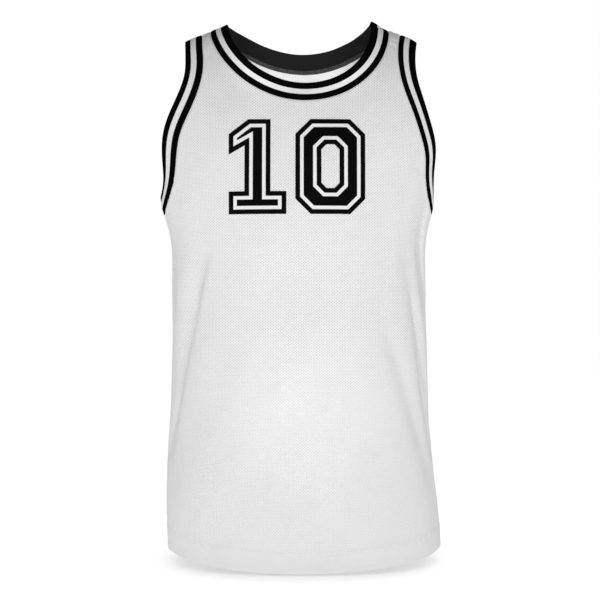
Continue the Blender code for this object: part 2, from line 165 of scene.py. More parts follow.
# ---- Creases of the cloth, on top of the folds: each runs through three places ----
# A trough has a depth above 0 and a ridge one below. Its two flanks, towards the smaller angle
# and towards the larger one, have half widths of their own: the narrow one is the sharp one.
#    angle  height  angle  height  angle  height  depth   smaller larger
CREASES = np.array((
    (-41.0, -0.306, -57.5, -0.446, -79.0, -0.590, 0.0054, 0.0110, 0.0042),  # right front, long
    (-56.5, -0.208, -54.0, -0.228, -52.0, -0.248, 0.0016, 0.0034, 0.0026),  # by the armhole
    (-48.5, -0.335, -60.0, -0.430, -75.0, -0.520, 0.0074, 0.0240, 0.0110),  # flat of the cloth
    (-33.0, -0.210, -36.0, -0.260, -42.0, -0.330, -0.0010, 0.0120, 0.0120),
    (57.5, -0.366, 71.5, -0.462, 88.0, -0.590, 0.0100, 0.0042, 0.0150),  # left front, long
    (34.5, -0.360, 47.5, -0.472, 68.0, -0.590, 0.0006, 0.0110, 0.0150),
    (63.0, -0.226, 73.0, -0.306, 81.0, -0.395, 0.0048, 0.0165, 0.0050),  # below the armhole
    (40.0, -0.195, 43.0, -0.280, 45.5, -0.345, -0.0012, 0.0110, 0.0080),
    (150.0, -0.270, 135.0, -0.410, 110.0, -0.575, 0.0080, 0.0210, 0.0046),  # left back, long
    (168.0, -0.400, 156.0, -0.500, 136.0, -0.610, 0.0038, 0.0120, 0.0075),
    (131.0, -0.212, 134.0, -0.245, 141.0, -0.292, 0.0028, 0.0060, 0.0045),  # by the armhole
    (216.0, -0.300, 230.0, -0.450, 254.0, -0.605, 0.0080, 0.0046, 0.0210),  # right back, long
    (198.0, -0.440, 205.0, -0.540, 216.0, -0.650, 0.0034, 0.0080, 0.0120),
    (232.0, -0.205, 229.0, -0.240, 222.0, -0.280, 0.0030, 0.0050, 0.0065),  # by the armhole
    (254.0, -0.262, 250.0, -0.330, 247.0, -0.400, 0.0034, 0.0060, 0.0050),
    (106.0, -0.270, 110.0, -0.350, 113.0, -0.440, 0.0032, 0.0050, 0.0070),
    (162.0, -0.068, 181.0, -0.082, 199.0, -0.070, 0.0015, 0.0100, 0.0100),  # below the neck
    (186.0, -0.300, 180.0, -0.380, 171.0, -0.450, 0.0018, 0.0130, 0.0130),
))
CREASE_ENDS = 0.06, 1.3, 3  # as for a fold
CREASE_PARTS = 20       # straight parts of a crease

# ---- Slow unevenness of the cloth: waves round the body, waves per metre down, amplitude, phase ----
SWELLS = (7, 5.0, 0.00045, 0.4), (11, -3.0, 0.00035, 2.1), (17, 9.0, 0.00022, 5.0)

# ---- Fine relief of the panels ----
SEAM_DIP = 0.00060      # how far the panels' cut edges dip into a seam
SEAM_SOFT = 0.0011      # over what distance
SEAM_PUFF = 0.00022     # the pressed seam allowance that shows through beside it
SEAM_PUFF_AT = 0.0036
SEAM_PUFF_WIDE = 0.0018
GATHER = 0.00055        # height of the small gathers where the straps are sewn
GATHER_PITCH = 0.017
GATHER_WANDER = 1.7, 90.0  # how far they wander, in radians, and in how short waves
GATHER_HEIGHTS = -0.075, -0.010  # they come in between these, upwards
GATHER_CLEAR = 0.004    # and over this distance from a seam
HEM_LIFT = 0.00005      # how far the turned-up cloth stands out
HEM_STEP = 0.0012       # half of the distance in which it starts
STITCH_GROOVE = 0.00010  # how far the hem's seam pulls the cloth in
STITCH_GROOVE_WIDE = 0.0012
STITCH_RIDGE = 0.00060  # how far the turned edge above the seam stands out
STITCH_RIDGE_AT = 0.0023
STITCH_RIDGE_WIDE = 0.0016
PUCKER = 0.00030        # height of the hem's small gathers at the side seams
PUCKER_MIDDLE = 0.35    # share of it at the middle of the front and the back
PUCKER_PITCH = 0.0115
PUCKER_WANDER = 2.2, 41.0  # as for the straps
PUCKER_REACH = 0.0085
EDGE_ROUND = 0.0009     # radius of the folded lower edge
WALL_CLEAR = 1e-4       # least half thickness there
SLACK_HEIGHTS = -0.530, -0.400  # between these the eyelets open, from the hanging part up
SLACK_EYELETS = 0.52    # how open they are below that
TAUT_HEIGHTS = -0.170, -0.060  # between these they open further, up to the shoulders
TAUT_EYELETS = 0.45     # how much further
DOUBLED_HIDES = 0.65    # how much the turned-up cloth behind the hem hides them

# ---- Ribs ----
# Whole numbers among the rows are the free edge, the white stripe's two edges and the seam.
ROWS = np.array((0, 0.03, 0.09, 0.2, 0.37, 0.59, 0.8, 1, 1.25, 1.5, 1.75, 2, 2.24, 2.46, 2.65, 2.8, 2.91, 3))
MIDDLE_ROW = 9          # where the knit's ribs are counted
NECK_STRIPE = 0.0098, 0.0170  # the white stripe's edges, from the free edge
ARM_STRIPES = {1: (0.0106, 0.0180), -1: (0.0084, 0.0162)}
RIB_CROWN = 0.00035     # how far a rib bulges in its middle
RIB_SEAM_DIP = 0.0009   # how far its cut edge dips into the seam
RIB_SEAM_SOFT = 0.0010  # over what distance
RIB_TURN = 0.0020       # length of knit that goes round the free edge
ROLL_SHARE = 0.8        # how much of the solid's roll shows
END_THICK = 0.45        # thickness at the very end of a rib or a stitch, as a share
WALE_PITCH = 0.00150    # ribs of the rib knit
COURSE_PITCH = 0.0009
BLACK, WHITE, INSIDE = range(3)  # the knits, in their order on a rib

# ---- Density of the meshes ----
GRAIN = 0.0042          # spacing of the places inside a panel
FINE_GRAIN = 0.0021     # and where its relief is fine
FINE_SLOPE = 0.10       # slope of a crease from which it is
FINE_STEP = 0.0015      # distance over which that slope is measured
INSETS = 0.0005, 0.0013, 0.0025, 0.0042  # rows beside a panel's outline
INSET_KEEP = 0.85       # share of its width that such a row has to keep clear
GRID_CLEAR = 0.0062     # how far the places inside keep from the outline
EDGE_PARTS = 90         # parts of a quarter of the neck seam
ARM_PARTS = 170         # parts of a front or back half of an armhole seam
SIDE_PARTS = 220
HEM_PARTS = 240
SHOULDER_PARTS = 12
DENSE = 720             # places on half of a closed edge before it is divided evenly
DENSER = 5              # parts into which an outline's own parts are cut to measure from it
WAY_PLACES = 2000       # places on the way down from the top ring to the lowest
ARC_ANGLES = 361        # size of the table of lengths round the body
ARC_WAYS = 160
CHUNK = 4000            # places that are tested at a time
WALK_STEP = 0.0021      # longest step in which a row is found from an edge
NUDGE = 1e-4            # small change that gives the surface's slopes
MERGE = 1e-8            # places closer than this in the flat are one
WELD = 1e-6             # and points in space
SHARP = math.radians(50)  # edges that turn more than this look sharp
GIRTH_RADIUS = 0.160    # turns an angle round the body into a length of cloth
CLOTH_SIDE = -1         # on which side of the neck's and the left armhole's edge the cloth is
QUARTER = math.pi / 2
ROW_GAP = math.sqrt(3) / 2  # between rows of places that are evenly spaced, as a share of their grain


# ---- The body's surface ----

def spline(x, y, at):
    """The natural cubic spline through the points, at some places."""
    gap = np.diff(x)
    slope = np.diff(y) / gap
    system = np.eye(len(x))
    for i in range(1, len(x) - 1):
        system[i, i - 1:i + 2] = gap[i - 1], 2 * (gap[i - 1] + gap[i]), gap[i]
    bend = np.linalg.solve(system, np.concatenate(((0,), 6 * np.diff(slope), (0,))))
    i = np.clip(np.searchsorted(x, at) - 1, 0, len(x) - 2)
    low = (x[i + 1] - at) / gap[i]
    high = 1 - low
    curve = (low ** 3 - low) * bend[i] + (high ** 3 - high) * bend[i + 1]
    return low * y[i] + high * y[i + 1] + curve * gap[i] ** 2 / 6


def lengths_along(points):
    """Length along a row of points, from its first one to each."""
    return np.append(0.0, np.cumsum(np.linalg.norm(np.diff(points, axis=0), axis=1)))


RING_WAY = lengths_along(RINGS[:, :2])
WAY = np.linspace(0.0, RING_WAY[-1], WAY_PLACES)
RING_AT_WAY = np.array([spline(RING_WAY, column, WAY) for column in RINGS.T])


def rings_at(down):
    """Height, half widths right and left, and depths front and back, some way down."""
    return [np.interp(down, WAY, column) for column in RING_AT_WAY]


def way_to(height):
    """The way down to a height."""
    return np.interp(-height, -RING_AT_WAY[0], WAY)


def on_ring(angle, down):
    """Points of the smooth body, without folds."""
    height, right, left, front, back = rings_at(down)
    sine, cosine = np.sin(angle), np.cos(angle)
    reach = (np.abs(sine) ** SQUARENESS + np.abs(cosine) ** SQUARENESS) ** (-1 / SQUARENESS)
    x = reach * sine * np.where(sine > 0, left, right)
    y = -reach * cosine * np.where(cosine > 0, front, back)
    return np.stack((x, y, height), -1)


def across_ring(x, down):
    """How far to the side a place is, as a share of its ring's half width."""
    _, right, left, _, _ = rings_at(down)
    return x / np.where(x > 0, left, right)


def other_share(share):
    """The other coordinate of a place on a ring, both as shares of the ring's half sizes."""
    return (1 - np.abs(share) ** SQUARENESS) ** (1 / SQUARENESS)


def slopes_of(surface, angle, down):
    """How a surface's points move with the angle and with the way down."""
    by_angle = surface(angle + NUDGE, down) - surface(angle - NUDGE, down)
    by_way = surface(angle, down + NUDGE) - surface(angle, down - NUDGE)
    return by_angle / (2 * NUDGE), by_way / (2 * NUDGE)


def unit(vectors):
    """Vectors of length 1 with the same directions."""
    return vectors / np.linalg.norm(vectors, axis=-1, keepdims=True)


def normals_of(surface, angle, down):
    """Unit normals of a surface, pointing out of the garment."""
    by_angle, by_way = slopes_of(surface, angle, down)
    return unit(np.cross(by_way, by_angle))


def pressed_lines():
    """The folds and creases as rows of flat places, each with its depth, its flanks and its ends."""
    for start, painted_rib_highlight, end, bottom, depth, half_width in FOLDS:
        turns, heights = np.radians((start, end)), np.array((painted_rib_highlight, bottom))
        yield np.stack((turns * GIRTH_RADIUS, way_to(heights)), -1), depth, half_width, half_width, *FOLD_ENDS
    share = np.linspace(0, 1, CREASE_PARTS + 1)
    weights = np.stack(((1 - share) * (1 - 2 * share), 4 * share * (1 - share), share * (2 * share - 1)))
    for row in CREASES:
        places = np.stack((np.radians(row[0:6:2]) * GIRTH_RADIUS, way_to(row[1:6:2])))
        yield (places @ weights).T, *row[6:], *CREASE_ENDS


PRESSED_LINES = list(pressed_lines())


def pressed_in(angle, down, lines):
    """How far folds or creases press the cloth in."""
    round_the_back = np.where(angle < -QUARTER, 2 * math.pi, 0)
    place = np.stack(((angle + round_the_back) * GIRTH_RADIUS, down), -1).reshape(-1, 2)
    pressed = np.zeros(len(place))
    for line, depth, before, after, end, power, reach in lines:
        reach *= max(before, after)
        near = ((place > line.min(0) - reach) & (place < line.max(0) + reach)).all(1)
        if not near.any():
            continue
        starts, spans = line[:-1], np.diff(line, axis=0)
        off = place[near][:, None] - starts
        along = np.clip((off * spans).sum(-1) / (spans ** 2).sum(-1), 0, 1)
        offset = off - along[..., None] * spans
        distance = np.linalg.norm(offset, axis=-1)
        best = distance.argmin(1)
        pick = np.arange(len(best)), best
        way = (best + along[pick]) / len(spans)
        half_width = np.where(offset[pick][:, 0] < 0, before, after)
        fade = np.sin(math.pi * (end + (1 - 2 * end) * way)) ** power
        pressed[near] += depth * fade * bell(distance[pick], half_width)
    return pressed.reshape(angle.shape)


def on_cloth(angle, down):
    """Points of the garment's creased outside."""
    pressed = pressed_in(angle, down, PRESSED_LINES)
    for turns, waves, size, phase in SWELLS:
        pressed += size * np.sin(turns * angle + 2 * math.pi * waves * down + phase)
    return on_ring(angle, down) - pressed[..., None] * normals_of(on_ring, angle, down)


def cloth_at(places):
    """Points and normals of the garment's creased outside."""
    return on_cloth(*places), normals_of(on_cloth, *places)


# ---- Lengths round the body, from the middle of the front or the back ----

ARC_TURNS = np.linspace(-QUARTER, QUARTER, ARC_ANGLES)


def arc_table(middle):
    """Length along each ring from the panel's middle, for each angle from it."""
    turns, downs = np.meshgrid(ARC_TURNS, np.linspace(0, WAY[-1], ARC_WAYS))
    steps = np.linalg.norm(np.diff(on_ring(turns + middle, downs), axis=1), axis=-1)
    arcs = np.concatenate((np.zeros((ARC_WAYS, 1)), np.cumsum(steps, axis=1)), axis=1)
    return arcs - arcs[:, ARC_ANGLES // 2, None]


ARCS = arc_table(0), arc_table(math.pi)


def arc_to(angle, down, behind):
    """Length from a panel's middle to places, along their rings."""
    column = np.clip((angle + QUARTER) / math.pi * (ARC_ANGLES - 1), 0, ARC_ANGLES - 1.001)
    row = np.clip(down / WAY[-1] * (ARC_WAYS - 1), 0, ARC_WAYS - 1.001)
    i, j = row.astype(int), column.astype(int)
    p, q = row - i, column - j
    table = ARCS[behind]
    return ((1 - p) * ((1 - q) * table[i, j] + q * table[i, j + 1])
            + p * ((1 - q) * table[i + 1, j] + q * table[i + 1, j + 1]))


# ---- Edges and seams: closed rows of places ----

def walk(angle, down, widths, towards):
    """Moves each place of a closed edge square to the edge, over the surface, to each width."""
    points = on_ring(angle, down)
    along = np.roll(points, -1, axis=0) - np.roll(points, 1, axis=0)
    heading = unit(np.cross(normals_of(on_ring, angle, down), along)) * towards
    places, reached = [], 0.0
    for width in widths:
        parts = max(1, math.ceil(abs(width - reached) / WALK_STEP))
        for _ in range(parts):
            by_angle, by_way = slopes_of(on_ring, angle, down)
            normal = unit(np.cross(by_way, by_angle))
            heading = unit(heading - (heading * normal).sum(-1, keepdims=True) * normal)
            step = heading * (width - reached) / parts
            aa, aw, ww = ((p * q).sum(-1) for p, q in (
                (by_angle, by_angle), (by_angle, by_way), (by_way, by_way)))
            a, w = (by_angle * step).sum(-1), (by_way * step).sum(-1)
            scale = aa * ww - aw ** 2
            angle = angle + (a * ww - w * aw) / scale
            down = down + (w * aa - a * aw) / scale
        reached = width
        places.append(np.stack((angle, down)))
    return places


def softened(value, corner):
    """A value's size from 0 to 1, with the sharp corner at 0 rounded."""
    return (np.hypot(value, corner) - corner) / (math.hypot(1, corner) - corner)


def neck_edge():
    """The neck rib's free edge, from the middle of the front round by the wearer's left."""
    turn = np.arange(2 * DENSE) * math.pi / DENSE
    sine, cosine = np.sin(turn), np.cos(turn)
    fall = np.where(
        cosine > 0,
        NECK_DROP_FRONT * softened(cosine, NECK_CORNER),
        NECK_DROP_BACK * np.abs(cosine) ** NECK_POWER_BACK,
    )
    swing = NECK_SWING * (1 - (1 - softened(cosine, SWING_CORNER)) ** 2)
    right = rings_at(way_to(NECK_TOP - NECK_TILT))[1]
    left = rings_at(way_to(NECK_TOP + NECK_TILT))[2]
    down = way_to(NECK_TOP + NECK_TILT * sine - fall)
    share = np.clip(across_ring(sine * np.where(sine > 0, left, right) + swing, down), -1, 1)
    return np.arctan2(share, np.copysign(other_share(share), cosine)), down


def armhole_edge(side):
    """An armhole rib's free edge, from the top round by the front. side is 1 for the left arm."""
    table = ARMHOLE[:, :2] if side > 0 else ARMHOLE[:, 2:0:-1]
    rows = np.concatenate((table[-LEAD:], table, table[:LEAD + 1]))
    knots = lengths_along(rows)
    ends = knots[[LEAD, LEAD + ARMHOLE_BOTTOM, LEAD + len(ARMHOLE)]]
    halves = [np.linspace(start, end, DENSE, endpoint=False) for start, end in zip(ends, ends[1:])]
    forward, height = (spline(knots, column, np.concatenate(halves)) for column in rows.T)
    down = way_to(height)
    front, back = rings_at(down)[3:]
    share = forward / np.where(forward > 0, front, back)
    return side * np.arctan2(other_share(share), share), down


def arm_turn_in(side):
    """How far an armhole rib's free edge turns in, all round from the top by the front."""
    around = np.arange(2 * ARM_PARTS) * math.pi / ARM_PARTS
    flare = ARM_FLARE[side] * np.clip(np.sin(around), 0, None) ** ARM_FLARE_POWER
    return ARM_TURN_IN[side] * np.sin(around / 2) ** 2 - flare


def even_positions(places, corners, parts):
    """Positions on a closed edge that divide each stretch between its corners evenly."""
    total = places.shape[1]
    positions = []
    for start, end in zip(corners, corners[1:] + [total]):
        length = lengths_along(on_ring(*places[:, np.arange(start, end + 1) % total]))
        marks = np.linspace(0, length[-1], parts + 1)[:-1]
        positions.append(start + np.interp(marks, length, np.arange(len(length))))
    return np.concatenate(positions)


def read_at(places, positions):
    """The places of a closed edge at positions that may lie between them."""
    angle, down = np.append(places, places[:, :1], axis=1)
    whole = np.arange(len(angle))
    return np.stack((np.interp(positions, whole, np.unwrap(angle)), np.interp(positions, whole, down)))


def straight(angle, start, end, parts):
    """Places on a straight seam, from one way down to just before another."""
    return np.stack((np.full(parts, angle), np.linspace(start, end, parts + 1)[:-1]))


def hem_height(angle):
    """Height of the hem's edge round the body."""
    cosine = np.cos(angle)
    drop = np.where(cosine > 0, HEM_DROP_FRONT, HEM_DROP_BACK)
    return HEM_SIDE - drop * np.abs(cosine) ** HEM_POWER


def between(places, start, end, middle):
    """Part of a closed edge, by its places' numbers, with angles counted from a middle."""
    numbers = np.arange(start, end + 1) if end > start else np.arange(start, end - 1, -1)
    angle, down = places[:, numbers % places.shape[1]]
    return np.stack(((angle - middle + math.pi) % (2 * math.pi) - math.pi, down))


def smooth(x, start, end):
    """0 before start, 1 after end, and a soft step between them."""
    share = np.clip((x - start) / (end - start), 0, 1)
    return share * share * (3 - 2 * share)


def bell(x, wide):
    """A soft bump of height 1 round 0."""
    return np.exp(-(x / wide) ** 2)


# ---- Meshes ----

def new_object(name, points, faces, materials, uv, numbers=None, values=None):
    """A smooth mesh object. uv and values are per point, and numbers are the faces' materials."""
    mesh = bpy.data.meshes.new(name)
    mesh.from_pydata(points.tolist(), [], faces)
    for material in materials:
        mesh.materials.append(material)
    if numbers is not None:
        mesh.polygons.foreach_set("material_index", np.asarray(numbers, np.int32))
    corners = np.empty(len(mesh.loops), np.int32)
    mesh.loops.foreach_get("vertex_index", corners)
    mesh.uv_layers.new(name="cloth").data.foreach_set("uv", uv[corners].astype(np.float32).ravel())
    for key, value in (values or {}).items():
        mesh.attributes.new(key, "FLOAT", "POINT").data.foreach_set("value", value.astype(np.float32))
    mesh.shade_smooth()
    mesh.set_sharp_from_angle(angle=SHARP)
    mesh.validate()
    made = bpy.data.objects.new(name, mesh)
    bpy.context.scene.collection.objects.link(made)
    return made


@contextmanager
def opened(made):
    """An object's mesh, open for editing."""
    mesh = bmesh.new()
    mesh.from_mesh(made.data)
    yield mesh
    mesh.to_mesh(made.data)
    mesh.free()


def face_outwards(made):
    """Turns a closed mesh's faces outwards."""
    with opened(made) as mesh:
        bmesh.ops.recalc_face_normals(mesh, faces=mesh.faces)


def closed_wall(name, outside, inside, faces, materials, uv, numbers, values=None):
    """A wall between two layers of points. faces join the outside ones, seen from outside."""
    count = len(outside)
    owner = {edge: number for number, face in enumerate(faces) for edge in zip(face, face[1:] + face[:1])}
    rim = [edge for edge in sorted(owner) if edge[::-1] not in owner]
    walls = [(q, p, p + count, q + count) for p, q in rim]
    lining = [tuple(corner + count for corner in reversed(face)) for face in faces]
    numbers = np.concatenate((numbers, numbers, numbers[[owner[edge] for edge in rim]]))
    both = {key: np.tile(value, 2) for key, value in (values or {}).items()}
    return new_object(name, np.concatenate((outside, inside)), faces + lining + walls, materials,
                      np.tile(uv, (2, 1)), numbers, both)


def tube(rows, columns, ring=False, capped=False, first=0):
    """Faces between neighbouring rows of points, the last of them next to the first.

    ring joins each row's ends to each other, and capped closes the tube's ends.
    """
    faces = []
    for k in range(rows):
        here, after = (first + row % rows * columns for row in (k, k + 1))
        for i in range(columns if ring else columns - 1):
            j = (i + 1) % columns
            faces.append((here + i, here + j, after + j, after + i))
    if capped:
        faces += [tuple(first + k * columns + i for k in range(rows)) for i in (0, columns - 1)]
    return faces


def pattern(length, ways):
    """Pattern coordinates of rows of points: length along them, and each row's way across."""
    return np.concatenate([np.stack((length, np.full(len(length), way)), -1) for way in ways])


def nearest(points, places):
    """Distance of each place to the nearest one of some points."""
    tree = kdtree.KDTree(len(points))
    for i, point in enumerate(points):
        tree.insert(point, i)
    tree.balance()
    return np.array([tree.find(place)[2] for place in places])


def within(places, outline):
    """Whether each place is inside a closed outline, in the flat."""
    starts, ends = outline, np.roll(outline, -1, axis=0)
    rise = np.where(ends[:, 1] == starts[:, 1], 1, ends[:, 1] - starts[:, 1])
    inside = []
    for first in range(0, len(places), CHUNK):
        part = places[first:first + CHUNK]
        x, y = part[:, :1], part[:, 1:]
        spans = (starts[:, 1] > y) != (ends[:, 1] > y)
        crossing = starts[:, 0] + (y - starts[:, 1]) * (ends[:, 0] - starts[:, 0]) / rise
        inside.append((spans & (x < crossing)).sum(1) % 2 == 1)
    return np.concatenate(inside)


# ---- Panels ----

def is_fine(angle, down):
    """Whether the relief is fine at places: on a crease's flank, by the hem's seam, on a strap."""
    creases = PRESSED_LINES[len(FOLDS):]
    here = pressed_in(angle, down, creases)
    across = pressed_in(angle + FINE_STEP / GIRTH_RADIUS, down, creases) - here
    below = pressed_in(angle, down + FINE_STEP, creases) - here
    height = rings_at(down)[0]
    by_seam = np.abs(height - hem_height(angle) - HEM_DEPTH) < 2 * FINE_GRAIN
    return (np.hypot(across, below) > FINE_SLOPE * FINE_STEP) | by_seam | (height > GATHER_HEIGHTS[0])


def even_places(behind, lowest, highest, grain):
    """Places all over a panel, evenly spaced along its rings and down them."""
    rows = []
    for number, down in enumerate(np.arange(lowest, highest, grain * ROW_GAP)):
        arcs = arc_to(ARC_TURNS, np.full(ARC_ANGLES, down), behind)
        marks = np.arange(arcs[0] + grain * (0.5 + number % 2 / 2), arcs[-1], grain)
        rows.append(np.stack((np.interp(marks, arcs, ARC_TURNS), np.full(len(marks), down))))
    return np.concatenate(rows, axis=1)


def panel_net(behind, neck, armholes):
    """A panel's places, their pattern coordinates, the faces between them, and its seams' points."""
    middle = behind * math.pi
    turn = np.linspace(-QUARTER, QUARTER, HEM_PARTS + 1)[1:-1]
    hem = np.stack((turn, way_to(hem_height(turn + middle))))
    sides, shoulders = [], []
    for turn, armhole, neck_end in zip((-QUARTER, QUARTER), armholes, (neck[1, 0], neck[1, -1])):
        sides.append(straight(turn, way_to(HEM_SIDE), armhole[1, 0], SIDE_PARTS))
        shoulders.append(straight(turn, armhole[1, -1], neck_end, SHOULDER_PARTS)[:, 1:])
    outline = np.concatenate((
        hem, sides[1], armholes[1], shoulders[1], neck[:, ::-1],
        shoulders[0][:, ::-1], armholes[0][:, ::-1], sides[0][:, ::-1]), axis=1)
    count = outline.shape[1]
    reach = QUARTER - SEAM_GAP / 2 / rings_at(outline[1])[3 + behind]
    outline[0] = np.clip(outline[0], -reach, reach)
    turn, down = read_at(outline, np.arange(count * DENSER) / DENSER)
    rim_points = on_ring(turn + middle, down)

    places = [outline]
    for width, row in zip(INSETS, walk(outline[0] + middle, outline[1], INSETS, 1)):
        clear = nearest(rim_points, on_ring(*row)) > INSET_KEEP * width
        places.append(np.stack((row[0] - middle, row[1]))[:, clear])
    grids = []
    for grain, fine in ((GRAIN, False), (FINE_GRAIN, True)):
        grid = even_places(behind, outline[1].min(), outline[1].max(), grain)
        grids.append(grid[:, is_fine(grid[0] + middle, grid[1]) == fine])
    grid = np.concatenate(grids, axis=1)
    flat_grid, flat_outline = (
        np.stack((arc_to(*some, behind), some[1]), -1) for some in (grid, outline))
    grid = grid[:, within(flat_grid, flat_outline)]
    clear = nearest(rim_points, on_ring(grid[0] + middle, grid[1])) > GRID_CLEAR
    places.append(grid[:, clear])
    turn, down = np.concatenate(places, axis=1)
    uv = np.stack((arc_to(turn, down, behind), -down), -1)
    rim = [(i, (i + 1) % count) for i in range(count)]
    faces, origins = delaunay_2d_cdt([Vector(place) for place in uv], rim, [], 1, MERGE)[2:4]
    first = [origin[0] if origin else -1 for origin in origins]
    faces = [tuple(first[corner] for corner in face) for face in faces]
    faces = [face for face in faces if min(face) >= 0]
    return turn + middle, down, uv, faces, rim_points[(hem.shape[1] - 1) * DENSER:]


def ripple(along, pitch, wander, other, phase=0):
    """Waves from -1 to 1 of some pitch, which wander with another length."""
    return np.sin(2 * math.pi * along / pitch + wander[0] * np.sin(other * wander[1]) + phase)


def panel(name, behind, neck, armholes, material):
    """A front or a back, creased, with its seams' and its hem's relief, as one closed wall."""
    angle, down, uv, faces, seams = panel_net(behind, neck, armholes)
    surface, normal = cloth_at((angle, down))
    smooth_body = on_ring(angle, down)
    height = smooth_body[:, 2]
    seam = nearest(seams, smooth_body)
    rise = height - hem_height(angle)
    doubled = 1 - smooth(rise, HEM_DEPTH - HEM_STEP, HEM_DEPTH + HEM_STEP)
    puckers = ripple(uv[:, 0], PUCKER_PITCH, PUCKER_WANDER, uv[:, 0], 3 * behind)
    puckers *= PUCKER_MIDDLE + (1 - PUCKER_MIDDLE) * np.abs(np.sin(angle)) ** 3
    gathers = ripple(angle * GIRTH_RADIUS, GATHER_PITCH, GATHER_WANDER, down)
    lift = (
        HEM_LIFT * doubled
        + STITCH_RIDGE * bell(rise - HEM_DEPTH - STITCH_RIDGE_AT, STITCH_RIDGE_WIDE)
        - STITCH_GROOVE * bell(rise - HEM_DEPTH, STITCH_GROOVE_WIDE)
        + PUCKER * puckers * bell(rise - HEM_DEPTH, PUCKER_REACH)
        - SEAM_DIP * bell(seam, SEAM_SOFT)
        + SEAM_PUFF * bell(seam - SEAM_PUFF_AT, SEAM_PUFF_WIDE)
        + GATHER * gathers * smooth(height, *GATHER_HEIGHTS) * smooth(seam, 0.0, GATHER_CLEAR)
    )
    rounding = EDGE_ROUND * (1 - np.sqrt(1 - np.clip(1 - rise / EDGE_ROUND, 0, 1) ** 2))
    wall = MESH_WALL + (HEM_WALL - MESH_WALL) * doubled
    depth = wall - lift * (1 - doubled) - np.minimum(rounding, wall / 2 - WALL_CLEAR)
    # how open the eyelets are, which sets how much of the mesh's painted hole shade shows
    slack, taut = (smooth(height, *heights) for heights in (SLACK_HEIGHTS, TAUT_HEIGHTS))
    eyelets = SLACK_EYELETS + (1 - SLACK_EYELETS) * slack + TAUT_EYELETS * taut
    eyelets *= 1 - DOUBLED_HIDES * doubled
    closed_wall(name, surface + (lift - rounding)[:, None] * normal, surface - depth[:, None] * normal,
                faces, [material], uv, np.zeros(len(faces)), {"eyelets": eyelets})


# ---- Ribs and sewing ----
OVERLOCK_WIDTH = 0.0062  # the serged seam allowances inside the garment
OVERLOCK_THICK = 0.0013
OVERLOCK_RIM = 0.08     # share of the arch across them that is cut off at each side
OVERLOCK_SINK = 0.0002  # how far they sink into the cloth
OVERLOCK_START = -0.0006  # from where behind a rib's seam they lie
OVERLOCK_CLEAR = 0.006  # how far the straight ones end from the ones round an opening
HEM_CLEAR = 0.001       # and from the hem's edge
OVERLOCK_GRAIN = 0.00075
OVERLOCK_ROWS = 9
LOOP_PITCH = 0.0024     # the serging's thread loops
LOOP_HEIGHT = 0.00060
LOOP_SLANT = 0.70       # in loops, from one side of the strip to the other
STITCH_LENGTH = 0.0027  # the hem's stitches
STITCH_PITCH = 0.0036
STITCH_RADIUS = 0.00028
STITCH_SINK = 0.00019   # how far their ends sink into the cloth
STITCH_ARCH = 0.00034   # how far their middles rise above their ends
STITCH_SIDES = 6
STITCH_PARTS = 6
HEM_PLACES = 4001       # places from which the stitches are spaced


def rib(name, edge, corners, parts, towards, turn_in, stripe, materials):
    """A striped band of knit along an edge, rolled at its free edge. Returns the panels' edge beside it."""
    widths = np.interp(ROWS, range(4), (0, *stripe, RIB_WIDTH - SEAM_GAP / 2))
    panels = walk(*edge, [RIB_WIDTH + SEAM_GAP / 2], towards)[0]
    positions = even_positions(panels, corners, parts)
    bends = np.interp(widths / RIB_WIDTH, (0, 0.5, 1), (1, MIDDLE_TURN_IN, 0))
    outside, inside = [], []
    for row, width, bend in zip(walk(*edge, widths, towards), widths, bends):
        point, normal = cloth_at(read_at(row, positions))
        edge_round = math.sqrt(1 - (1 - min(width / (RIB_WALL / 2), 1)) ** 2)
        thick = RIB_WALL / 2 * (END_THICK + (1 - END_THICK) * edge_round)
        crown = RIB_CROWN * math.sin(math.pi * min(width / RIB_WIDTH, 1))
        crown -= RIB_SEAM_DIP * bell(RIB_WIDTH - width, RIB_SEAM_SOFT)
        centre = (RIB_PROUD - RIB_WALL / 2 - bend * turn_in)[:, None]
        outside.append(point + normal * (centre + thick + crown))
        inside.append(point + normal * (centre - thick))
    roll = (outside[0] + inside[0]) / 2 + RIB_ROLL * ROLL_SHARE * unit(outside[0] - outside[2])
    # Each row's first point comes again at its end, so that the pattern's seam is in one place
    loops = [np.append(loop, loop[:1], axis=0) for loop in (roll, *outside, *inside[::-1])]
    length = lengths_along(loops[1 + MIDDLE_ROW])
    length *= round(length[-1] / WALE_PITCH) * WALE_PITCH / length[-1]
    ways = np.concatenate(((-RIB_ROLL,), widths, -widths[::-1] - RIB_TURN))
    faces = [face[::towards] for face in tube(len(loops), len(length))]
    stripes = [WHITE if 1 < middle < 2 else BLACK for middle in (ROWS[1:] + ROWS[:-1]) / 2]
    numbers = np.repeat([BLACK, *stripes, BLACK] + [INSIDE] * len(widths), len(length) - 1)
    made = new_object(name, np.concatenate(loops), faces, materials, pattern(length, ways), numbers)
    with opened(made) as mesh:
        bmesh.ops.remove_doubles(mesh, verts=mesh.verts, dist=WELD)
    return read_at(panels, positions)


